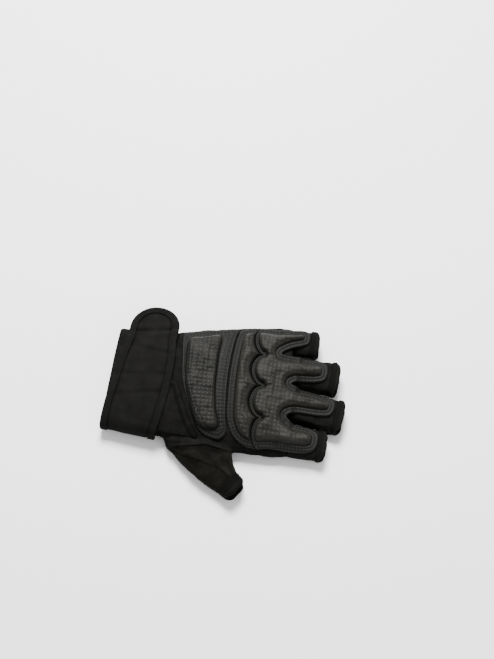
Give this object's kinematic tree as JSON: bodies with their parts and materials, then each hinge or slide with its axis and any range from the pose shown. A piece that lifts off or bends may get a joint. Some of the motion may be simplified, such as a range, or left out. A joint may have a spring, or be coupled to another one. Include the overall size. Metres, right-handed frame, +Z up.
{
  "type": "martial arts glove",
  "caption": "Half-finger padded sparring glove for the left hand: knit shell, suede palm, padded leather over wrist, knuckles and fingers, open finger stalls and a wrist strap.",
  "frame": {"origin": "under the middle of the glove's bounding box, on the flat underside of the palm", "axes": "+X from the wrist to the fingers, +Y to the little finger's side, +Z up through the back of the hand"},
  "size_m": [0.2158, 0.1702, 0.0354],
  "materials": {
    "knit": "matt knit",
    "suede": "napped suede",
    "mesh": "ribbed mesh",
    "padding": "embossed, satin",
    "hem": "matt, folded and stitched",
    "webbing": "fine brushed loop",
    "edging": "matt binding tape",
    "hooks": "stiff hook tape"
  },
  "bodies": {
    "root": {"cuff": "knit", "palm": "suede", "hand_back": "knit", "index_stall": "knit", "middle_stall": "knit", "ring_stall": "knit", "little_stall": "knit", "index_hem": "hem", "middle_hem": "hem", "ring_hem": "hem", "little_hem": "hem", "thumb_mesh": "mesh", "thumb_suede": "suede", "thumb_hem": "hem", "wrist_pad": "padding", "knuckle_bar": "padding", "finger_guard": "padding", "wrist_flap": "knit", "strap": "webbing", "strap_binding": "edging", "hook_patch": "hooks"}
  },
  "joints": []
}
